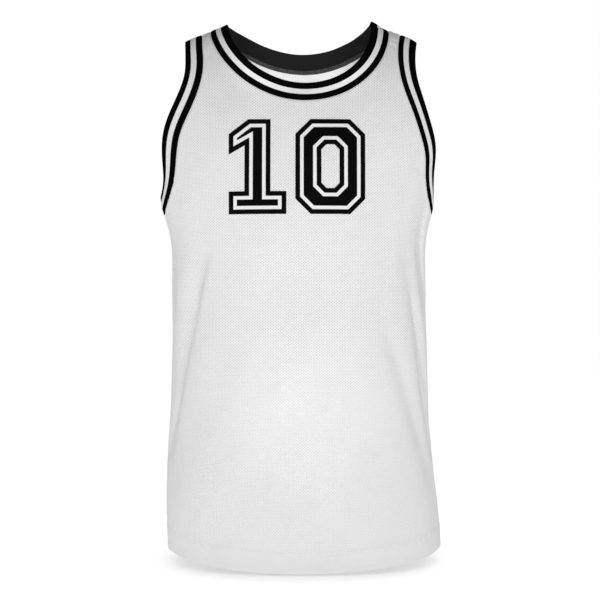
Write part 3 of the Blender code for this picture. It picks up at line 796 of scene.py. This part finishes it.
def overlock(name, rows, depths, ring, material):
    """A serged strip on the cloth's inside: rows of places across it, and how deep each lies."""
    length = lengths_along(on_cloth(*rows[len(rows) // 2]))
    tops, beds = [], []
    for row, depth, share in zip(rows, depths, np.linspace(0, 1, len(rows))):
        point, normal = cloth_at(row)
        arch = math.sin(math.pi * (OVERLOCK_RIM + (1 - 2 * OVERLOCK_RIM) * share)) ** 0.5
        loop = np.cos(2 * math.pi * (length / LOOP_PITCH - LOOP_SLANT * share))
        height = (OVERLOCK_THICK + LOOP_HEIGHT * loop) * arch
        tops.append(point - normal * (depth + height)[:, None])
        beds.append(point - normal * (depth - OVERLOCK_SINK))
    loops = tops + beds[::-1]
    ways = np.arange(len(loops)) * OVERLOCK_WIDTH / len(rows)
    faces = tube(len(loops), len(length), ring, not ring)
    face_outwards(new_object(name, np.concatenate(loops), faces, [material], pattern(length, ways)))


def edge_overlock(name, edge, towards, material):
    """The strip behind a rib's seam."""
    widths = RIB_WIDTH + OVERLOCK_START + np.linspace(0, OVERLOCK_WIDTH, OVERLOCK_ROWS)
    rows = walk(*edge, widths, towards)
    points = on_ring(*rows[0])
    whole = np.linalg.norm(points - np.roll(points, 1, axis=0), axis=1).sum()
    positions = even_positions(rows[0], [0], round(whole / OVERLOCK_GRAIN))
    depths = np.where(widths < RIB_WIDTH, RIB_WALL - RIB_PROUD, MESH_WALL)
    overlock(name, [read_at(row, positions) for row in rows], depths, True, material)


def seam_overlock(name, start, end, side, material):
    """The strip behind a straight seam, between two ways down at one side."""
    down = np.linspace(start, end, round(abs(end - start) / OVERLOCK_GRAIN) + 1)
    front, back = rings_at(down)[3:]
    rows = [np.stack((side * (QUARTER + share * OVERLOCK_WIDTH / (front if share < 0 else back)), down))
            for share in np.linspace(-0.5, 0.5, OVERLOCK_ROWS)]
    overlock(name, rows, [MESH_WALL] * OVERLOCK_ROWS, False, material)


def hem_stitches(name, material):
    """The hem's seam all round, in separate stitches of thread that lie on the cloth."""
    dense = np.linspace(-math.pi, math.pi, HEM_PLACES)
    length = lengths_along(on_ring(dense, way_to(hem_height(dense) + HEM_DEPTH)))
    count = round(length[-1] / STITCH_PITCH)
    share = np.linspace(0, 1, STITCH_PARTS + 1)
    arch = np.sin(math.pi * share)
    lift = (HEM_LIFT - STITCH_SINK + STITCH_ARCH * arch)[:, None]
    thick = STITCH_RADIUS * (END_THICK + (1 - END_THICK) * np.sqrt(arch))[:, None]
    turns = 2 * math.pi * np.arange(STITCH_SIDES) / STITCH_SIDES
    loops, faces = [], []
    for start in np.arange(count) * length[-1] / count:
        angle = np.interp(start + STITCH_LENGTH * share, length, dense)
        surface, normal = cloth_at((angle, way_to(hem_height(angle) + HEM_DEPTH)))
        spine = surface + normal * lift
        across = unit(np.cross(unit(np.gradient(spine, axis=0)), normal))
        faces += tube(STITCH_SIDES, len(share), capped=True, first=len(loops) * len(share))
        loops += [spine + thick * (math.cos(turn) * across + math.sin(turn) * normal) for turn in turns]
    uv = np.tile(pattern(share * STITCH_LENGTH, turns * STITCH_RADIUS), (count, 1))
    face_outwards(new_object(name, np.concatenate(loops), faces, [material], uv))


# ---- The chest number ----
NUMBER_MIDDLE = (-0.004, -0.196)  # across, height
NUMBER_LIFT = 0.00042   # how far the film's top stands above the cloth
NUMBER_BED = 0.00006    # and its underside
NUMBER_GRAIN = 0.0034
OUTLINE_BAND = 0.0062   # width of the black outline
INLINE_BAND = 0.0046    # width of the white line inside it
# The outlines of the 1, of the 0 and of its hole, which runs the other way round, in millimetres
DIGITS = [np.reshape(outline, (-1, 2)) / 1000 for outline in (
    (-90, -63, -14, -63, -14, -33, -35, -33, -35, 63, -64.24, 63,
     -90, 43, -90, 16, -69, 28, -69, -33, -90, -33),
    (18, -63, 70, -63, 90, -43, 90, 43, 70, 63, 18, 63, -2, 43, -2, -43),
    (32, -22.2, 32, 22.2, 38.8, 29, 49.2, 29, 56, 22.2, 56, -22.2, 49.2, -29, 38.8, -29),
)]
HOLE = 2                # its place among them


def grown(outline, width):
    """A closed outline moved square to itself, to its left by a width, with sharp corners."""
    along = unit(np.roll(outline, -1, axis=0) - outline)
    left = np.stack((-along[:, 1], along[:, 0]), -1)
    before = np.roll(left, 1, axis=0)
    return outline + (left + before) / (1 + (left * before).sum(-1, keepdims=True)) * width


def cut_up(outline, step):
    """A closed outline with points at most a step apart."""
    made = []
    for start, end in zip(outline, np.roll(outline, -1, axis=0)):
        parts = max(1, math.ceil(np.linalg.norm(end - start) / step))
        made.append(start + (end - start) * np.arange(parts)[:, None] / parts)
    return np.concatenate(made)


def inked(places):
    """Whether flat places are inside the digits."""
    return sum(within(places, outline).astype(int) for outline in DIGITS) % 2 == 1


def chest_number(name, materials):
    """Two block digits in black with a white inline, as a thin film on the front."""
    flat, edges, inlines = [], [], []
    for number, outline in enumerate(DIGITS):
        rings = [outline, grown(outline, OUTLINE_BAND), grown(outline, OUTLINE_BAND + INLINE_BAND)]
        inlines.append(rings[:0:-1] if number == HOLE else rings[1:])
        for ring in rings:
            first = sum(map(len, flat))
            row = cut_up(ring, NUMBER_GRAIN)
            flat.append(row)
            edges += [(first + i, first + (i + 1) % len(row)) for i in range(len(row))]
    lines = np.concatenate(flat)
    low, high = lines.min(0), lines.max(0)
    grid = np.stack(np.meshgrid(np.arange(low[0], high[0], NUMBER_GRAIN),
                                np.arange(low[1], high[1], NUMBER_GRAIN * ROW_GAP)), -1)
    grid[1::2, :, 0] += NUMBER_GRAIN / 2
    grid = grid.reshape(-1, 2)
    clear = np.array([np.abs(lines - place).max(1).min() > NUMBER_GRAIN / 2 for place in grid])
    flat = np.concatenate((lines, grid[inked(grid) & clear]))
    found = delaunay_2d_cdt([Vector(place) for place in flat], edges, [], 0, MERGE)
    flat = np.array(found[0])
    faces = np.array([tuple(face) for face in found[2]])
    faces = faces[inked(flat[faces].mean(1))]
    centres = flat[faces].mean(1)
    white = sum(within(centres, outer) & ~within(centres, inner) for outer, inner in inlines)
    x, height = (flat + NUMBER_MIDDLE).T
    down = way_to(height)
    share = across_ring(x, down)
    point, normal = cloth_at((np.arctan2(share, other_share(share)), down))
    closed_wall(name, point + normal * NUMBER_LIFT, point + normal * NUMBER_BED,
                [tuple(face) for face in faces.tolist()], materials, flat, white)


# ---- Materials ----
EYELET_ACROSS, EYELET_DOWN = 0.00435, 0.0036
EYELET_RIM = 0.30, 0.92  # heights of the lattice's waves where a hole starts and where it is whole
EYELET_WOBBLE = 0.25    # how uneven the holes' edges are
EYELET_SHARE = 0.142    # the holes' mean share of the cloth
EYELET_PAINTED_SHADE = 0.84     # how far an open eyelet is painted toward dark grey, a painted shade for the shadow seen through the hole
KNIT_LOOPS = 6          # the knit's own loops to an eyelet, across and down
LOOP_EDGES = -0.9, 0.4  # heights of their waves between which the knit gets lighter
LOOP_PAINTED_SHADE = 0.10       # painted shade: how much darker the knit is painted between them
LOOP_RELIEF = 0.10      # their height, as a share of an eyelet's depth
YARN_RELIEF = 0.10      # and that of the yarn's fuzz
KNIT_FUZZ = 0.5, 0.35   # fuzz of the rib knit, in its colour and in its relief
KNIT_EDGES = -0.8, 1.2  # heights of its ribs' waves between which it is painted lighter, a painted highlight on the ribs' tops
COURSE_RELIEF = 0.14    # height of its courses, as a share of its ribs'
THREAD_FUZZ = 0.4
# heights of the twist's waves between which the thread is painted lighter, a painted highlight
THREAD_EDGES = -1.2, 2.2
THREAD_PATCHES = 0.38, 0.62, 0.25, 1.0  # the noise's values, and how strong the thread's painted highlight is there
FILM_SHOWS = 0.35       # how much of the mesh shows through the number
MESH_GLOW = 0.20        # share of the light that goes into the thin mesh
MESH_GLOW_REACH = 0.002  # and how far it spreads there
TWIST_PITCH = 0.0007    # along a thread
SHEEN_ROUGHNESS = 0.6
NOISE_ROUGHNESS = 0.6
EVEN_WHITE = (1, 1, 1, 1)


class Nodes:
    """A node tree, made node by node."""

    def __init__(self, tree):
        self.tree = tree

    def node(self, kind, *inputs, **settings):
        """A node with some settings, its inputs filled in order. None leaves one as it is."""
        made = self.tree.nodes.new("ShaderNode" + kind)
        for key, value in settings.items():
            setattr(made, key, value)
        for socket, value in zip(made.inputs, inputs):
            self.fill(socket, value)
        return made

    def fill(self, socket, value):
        """Links a socket or sets its value."""
        if isinstance(value, bpy.types.NodeSocket):
            self.tree.links.new(value, socket)
        elif value is not None:
            socket.default_value = value

    def fill_named(self, node, values):
        """Fills a node's inputs by their names."""
        for key, value in values.items():
            self.fill(node.inputs[key], value)
        return node


class Shader(Nodes):
    """A procedural material."""

    def __init__(self, name, roughness, specular, sheen):
        self.material = bpy.data.materials.new(name)
        self.material.use_nodes = True
        super().__init__(self.material.node_tree)
        self.surface = self.tree.nodes["Principled BSDF"]
        self.set({"Roughness": roughness, "Specular IOR Level": specular,
                  "Sheen Weight": sheen, "Sheen Roughness": SHEEN_ROUGHNESS})
        split = self.node("SeparateXYZ", self.node("UVMap", uv_map="cloth").outputs[0])
        self.across, self.along = split.outputs[:2]
        self.place = self.node("TexCoord").outputs["Object"]

    def set(self, values):
        """Fills the surface's own inputs."""
        self.fill_named(self.surface, values)

    def sum(self, operation, *inputs):
        """One arithmetic step."""
        return self.node("Math", *inputs, operation=operation).outputs[0]

    def waves(self, way, pitch):
        """A cosine of a length."""
        return self.sum("COSINE", self.sum("MULTIPLY_ADD", way, 2 * math.pi / pitch, 0.0))

    def lattice(self, parts=1):
        """Staggered waves across and down, as many times as fine as the eyelets."""
        return self.sum("MULTIPLY", self.waves(self.across, EYELET_ACROSS / parts),
                        self.waves(self.along, EYELET_DOWN / parts))

    def ramp(self, value, *ends):
        """A soft step between two values, from 0 to 1 or from and to what else is given."""
        ends = ends if len(ends) > 2 else (*ends, 0.0, 1.0)
        return self.node("MapRange", value, *ends, interpolation_type="SMOOTHSTEP").outputs[0]

    def noise(self, scale, detail=3.0):
        """Noise all over the object, from 0 to 1."""
        return self.fill_named(self.node("TexNoise"), {
            "Vector": self.place, "Scale": scale, "Detail": detail, "Roughness": NOISE_ROUGHNESS,
        }).outputs["Fac"]

    def blend(self, share, first, second):
        """A mix of two colours."""
        made = self.node("Mix", share, data_type="RGBA")
        sockets = [socket for socket in (*made.inputs, *made.outputs) if socket.type == "RGBA"]
        for socket, value in zip(sockets, (first, second)):
            self.fill(socket, value if isinstance(value, bpy.types.NodeSocket) else (*value, 1))
        return sockets[-1]

    def finish(self, colour, height, distance, strength):
        """Gives the surface its colour and its small relief, and returns the material."""
        bump = self.node("Bump")
        self.fill_named(bump, {"Strength": strength, "Distance": distance, "Height": height})
        self.set({"Base Color": colour, "Normal": bump.outputs[0]})
        return self.material


def eyelet_mesh():
    """White polyester knit with a staggered lattice of small eyelets, painted darker as painted shade in the
    holes and between the knit's loops.
    """
    shader = Shader("white_eyelet_mesh", roughness=0.62, specular=0.25, sheen=0.10)
    shader.set({"Subsurface Weight": MESH_GLOW, "Subsurface Radius": (1, 1, 1),
                "Subsurface Scale": MESH_GLOW_REACH})
    wobble = shader.sum("MULTIPLY_ADD", shader.noise(420), 2 * EYELET_WOBBLE, -EYELET_WOBBLE)
    hole = shader.ramp(shader.sum("ADD", shader.lattice(), wobble), *EYELET_RIM)
    # how open the eyelets are here, which scales their painted shade
    opening = shader.node("Attribute", attribute_name="eyelets").outputs["Fac"]
    away = shader.sum("SUBTRACT", hole, EYELET_SHARE)
    hole = shader.sum("MULTIPLY_ADD", away, opening, EYELET_SHARE)
    loops = shader.lattice(KNIT_LOOPS)
    yarn = shader.blend(shader.noise(55, 2.0), (0.800, 0.800, 0.803), (0.840, 0.840, 0.842))
    # painted shade in the gaps between the knit's loops
    yarn = shader.blend(shader.ramp(loops, *LOOP_EDGES, LOOP_PAINTED_SHADE, 0.0), yarn, (0.60, 0.60, 0.61))
    # painted shade: the eyelets are painted a dark grey in place of the shade seen through the holes
    colour = shader.blend(shader.sum("MULTIPLY", hole, EYELET_PAINTED_SHADE), yarn, (0.42, 0.42, 0.43))
    relief = shader.sum("MULTIPLY_ADD", hole, -1.0, shader.sum("MULTIPLY", loops, LOOP_RELIEF))
    relief = shader.sum("MULTIPLY_ADD", shader.noise(1400, 2.0), YARN_RELIEF, relief)
    return shader.finish(colour, relief, distance=0.00035, strength=0.8)


def rib_knit(name, colour, lighter, specular=0.0, sheen=0.0):
    """Rib knit, with its ribs across the band and a painted highlight on their tops."""
    shader = Shader(name, roughness=0.85, specular=specular, sheen=sheen)
    wales = shader.waves(shader.across, WALE_PITCH)
    fuzz = shader.noise(900)
    # painted highlight: the ribs' tops are painted lighter, with some fuzz
    painted_rib_highlight = shader.ramp(shader.sum("MULTIPLY_ADD", fuzz, KNIT_FUZZ[0], wales), *KNIT_EDGES)
    relief = shader.sum("MULTIPLY_ADD", shader.waves(shader.along, COURSE_PITCH), COURSE_RELIEF, wales)
    relief = shader.sum("MULTIPLY_ADD", fuzz, KNIT_FUZZ[1], relief)
    return shader.finish(shader.blend(painted_rib_highlight, colour, lighter), relief, distance=0.00022, strength=0.7)


def thread(name, colour, lighter):
    """Twisted sewing thread, with a painted highlight on its twists that is stronger in some places than in
    others.
    """
    shader = Shader(name, roughness=0.55, specular=0.3, sheen=0.1)
    twist = shader.waves(shader.across, TWIST_PITCH)
    twist = shader.sum("ADD", twist, shader.waves(shader.along, COURSE_PITCH))
    fuzz = shader.noise(1100)
    patches = shader.ramp(shader.noise(330, 2.0), *THREAD_PATCHES)
    # painted highlight along the thread's twist, scaled by the patches
    light = shader.ramp(shader.sum("ADD", twist, fuzz), *THREAD_EDGES)
    colour = shader.blend(shader.sum("MULTIPLY", light, patches), colour, lighter)
    relief = shader.sum("MULTIPLY_ADD", fuzz, THREAD_FUZZ, twist)
    return shader.finish(colour, relief, distance=0.00012, strength=0.6)


def film(name, colour, lighter, specular):
    """The number's pressed-on film: a fine grain, with the mesh faintly showing through."""
    shader = Shader(name, roughness=0.5, specular=specular, sheen=0.0)
    grain = shader.noise(1500, 2.0)
    relief = shader.sum("MULTIPLY_ADD", shader.lattice(), -FILM_SHOWS, grain)
    return shader.finish(shader.blend(grain, colour, lighter), relief, distance=0.00010, strength=0.5)


# ---- Studio ----
FLOOR_HEIGHT = -0.7345
FLOOR_SIZE = 9.0
FLOOR_GLOW = 0.755      # the open floor's own light
FLOOR_PAINTED_SHADOW = 0.55        # painted shadow: how much of the glow goes where something stands close over it
FLOOR_PAINTED_SHADOW_REACH = 0.10  # how close
FLOOR_GLOW_UNDER_PAINTED_SHADOW = 0.76  # share of the glow left under the garment, as a painted shadow
PAINTED_SHADOW_OVAL = 0.150, 0.145  # half width and half depth of the painted shadow's oval under the garment
PAINTED_SHADOW_OVAL_RIM = 0.90, 2.25  # from where to where the painted shadow fades out round it
PIXEL = 0.0014          # size of a pixel of the photograph at the garment's middle
FRAME_PIXELS = 600
CAMERA_DISTANCE = 2.0
CAMERA_HEIGHT = -0.372
SENSOR = 36.0           # millimetres
SKY_ABOVE, SKY_BELOW = 0.14, 1.18  # light from straight above and straight below
SOFTBOX_WATTS = 26.9
SOFTBOX_SIZE = 1.6
SOFTBOX_PLACE = 0.04, -2.6, -0.30
#                      watts  from                     at                       degrees radius
SPOTS = {
    "belly_spot": (23.5, (0.004, -2.6, -0.505), (0.004, 0.0, -0.520), 6.2, 0.05),
    "neck_spot_left": (210.0, (0.040, -2.4, -0.008), (0.040, 0.08, -0.038), 2.8, 0.03),
    "neck_spot_right": (210.0, (-0.038, -2.4, -0.008), (-0.038, 0.08, -0.038), 2.8, 0.03),
}


def pale_floor():
    """A plain white floor with a faint grain, whose glow is dimmed into a painted shadow under and close to
    the garment.
    """
    shader = Shader("pale_floor", roughness=0.9, specular=0.1, sheen=0.0)
    # painted shadow: the glow drops where ambient occlusion finds the garment close over the floor
    openness = shader.fill_named(shader.node("AmbientOcclusion", samples=8), {"Distance": FLOOR_PAINTED_SHADOW_REACH})
    glow = shader.sum("MULTIPLY_ADD", openness.outputs["AO"], FLOOR_PAINTED_SHADOW, FLOOR_GLOW - FLOOR_PAINTED_SHADOW)
    # and drops further inside an oval under the garment, a painted shadow
    powers = [
        shader.sum("POWER", shader.sum("ABSOLUTE", shader.sum("MULTIPLY", way, 1 / half)), SQUARENESS)
        for way, half in zip(shader.node("SeparateXYZ", shader.place).outputs, PAINTED_SHADOW_OVAL)]
    outside = shader.ramp(shader.sum("ADD", *powers), *PAINTED_SHADOW_OVAL_RIM, FLOOR_GLOW_UNDER_PAINTED_SHADOW, 1.0)
    shader.set({
        "Base Color": shader.blend(shader.noise(6, 2.0), (0.86, 0.86, 0.86), (0.87, 0.87, 0.87)),
        "Emission Color": EVEN_WHITE,
        "Emission Strength": shader.sum("MULTIPLY", shader.sum("MAXIMUM", glow, 0.0), outside),
    })
    return shader.material


def aimed(name, data, place, target):
    """A lamp or a camera at one place, pointing at another."""
    made = bpy.data.objects.new(name, data)
    made.location = place
    made.rotation_euler = (Vector(target) - Vector(place)).to_track_quat("-Z", "Y").to_euler()
    bpy.context.scene.collection.objects.link(made)
    return made


def sky(world):
    """Even light that fades from below to above, in front of a plain white backdrop."""
    world.use_nodes = True
    nodes = Nodes(world.node_tree)
    nodes.tree.nodes.clear()
    direction = nodes.node("SeparateXYZ", nodes.node("TexCoord").outputs["Generated"])
    strength = nodes.node("MapRange", direction.outputs[2], -1.0, 1.0, SKY_BELOW, SKY_ABOVE)
    light = nodes.node("Background", EVEN_WHITE, strength.outputs[0])
    backdrop = nodes.node("Background", EVEN_WHITE)
    seen = nodes.node("LightPath").outputs["Is Camera Ray"]
    mix = nodes.node("MixShader", seen, light.outputs[0], backdrop.outputs[0])
    nodes.node("OutputWorld", mix.outputs[0])


def studio():
    """Floor, light and camera."""
    scene = bpy.context.scene
    scene.view_settings.view_transform = "Standard"
    scene.view_settings.look = "None"
    corners = np.array([(x, y, 0) for x, y in ((-1, -1), (1, -1), (1, 1), (-1, 1))]) * FLOOR_SIZE / 2
    corners[:, 2] = FLOOR_HEIGHT
    new_object("studio_floor", corners, [(0, 1, 2, 3)], [pale_floor()], corners[:, :2])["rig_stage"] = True
    scene.world = bpy.data.worlds.new("studio_world")
    sky(scene.world)

    x, y, height = SOFTBOX_PLACE
    lamp = bpy.data.lights.new("front_softbox", "AREA")
    lamp.shape = "SQUARE"
    lamp.size = SOFTBOX_SIZE
    lamp.energy = SOFTBOX_WATTS
    aimed("front_softbox", lamp, SOFTBOX_PLACE, (x, 0, height))
    for name, (watts, place, target, cone, radius) in SPOTS.items():
        lamp = bpy.data.lights.new(name, "SPOT")
        lamp.energy = watts
        lamp.spot_size = math.radians(cone)
        lamp.spot_blend = 1.0
        lamp.shadow_soft_size = radius
        aimed(name, lamp, place, target)

    lens = bpy.data.cameras.new("photo_camera")
    lens.sensor_width = SENSOR
    lens.lens = SENSOR * CAMERA_DISTANCE / (PIXEL * FRAME_PIXELS)
    scene.camera = aimed("photo_camera", lens, (0, -CAMERA_DISTANCE, CAMERA_HEIGHT), (0, 0, CAMERA_HEIGHT))


# ---- The jersey ----

def garment():
    """All the pieces, riding on the one body."""
    mesh_white = eyelet_mesh()
    knits = [
        rib_knit("black_rib_knit", (0.0016, 0.0016, 0.0017), (0.0034, 0.0034, 0.0035)),
        rib_knit("white_rib_knit", (0.74, 0.74, 0.74), (0.83, 0.83, 0.83),
                 specular=0.2, sheen=0.05),
        # painted light: the same black yarn as the outside, painted lighter on the rib's inside for the sheen
        # and light it catches there
        rib_knit("black_rib_knit_inside_painted_lighter", (0.0036, 0.0036, 0.0037), (0.0080, 0.0080, 0.0082),
                 specular=0.10, sheen=0.05),
    ]
    thread_white = thread("white_thread", (0.66, 0.66, 0.66), (0.86, 0.86, 0.86))
    thread_dark = thread("dark_thread", (0.004, 0.004, 0.004), (0.090, 0.090, 0.090))
    films = [
        film("black_number_film", (0.0022, 0.0022, 0.0023), (0.0036, 0.0036, 0.0037), specular=0.01),
        film("white_number_film", (0.74, 0.74, 0.74), (0.80, 0.80, 0.80), specular=0.3),
    ]

    free = neck_edge()
    neck = rib("neck_rib_knit", free, [k * DENSE // 2 for k in range(4)], EDGE_PARTS, CLOTH_SIDE,
               np.zeros(4 * EDGE_PARTS), NECK_STRIPE, knits)
    edge_overlock("neck_overlock", free, CLOTH_SIDE, thread_dark)
    arms = {}
    for side, word, neck_end in ((1, "left", EDGE_PARTS), (-1, "right", 3 * EDGE_PARTS)):
        free, towards = armhole_edge(side), side * CLOTH_SIDE
        arms[side] = rib(f"armhole_rib_knit_{word}", free, [0, DENSE], ARM_PARTS, towards,
                         arm_turn_in(side), ARM_STRIPES[side], knits)
        edge_overlock(f"armhole_overlock_{word}", free, towards, thread_dark)
        under, over = arms[side][1, ARM_PARTS], arms[side][1, 0]
        seam_overlock(f"side_overlock_{word}", under + OVERLOCK_CLEAR, way_to(HEM_SIDE) - HEM_CLEAR,
                      side, thread_white)
        seam_overlock(f"shoulder_overlock_{word}", neck[1, neck_end] + OVERLOCK_CLEAR,
                      over - OVERLOCK_CLEAR, side, thread_white)
    panel("front_mesh", 0, between(neck, -EDGE_PARTS, EDGE_PARTS, 0),
          [between(arms[side], ARM_PARTS, 0, 0) for side in (-1, 1)], mesh_white)
    panel("back_mesh", 1, between(neck, EDGE_PARTS, 3 * EDGE_PARTS, math.pi),
          [between(arms[side], ARM_PARTS, 2 * ARM_PARTS, math.pi) for side in (1, -1)], mesh_white)
    hem_stitches("hem_stitching", thread_white)
    chest_number("chest_number", films)

    made = {
        piece.name: piece for piece in bpy.context.scene.objects
        if piece.type == "MESH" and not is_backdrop(piece) and "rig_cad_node" not in piece}
    for piece in made.values():
        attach(piece, "root")
    for piece, node in (
            ("front_mesh", "front_panel"), ("back_mesh", "back_panel"), ("neck_rib_knit", "neck_rib"),
            ("armhole_rib_knit_left", "armhole_rib_left"),
            ("armhole_rib_knit_right", "armhole_rib_right")):
        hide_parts(node)
    return made


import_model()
studio()
pieces = garment()
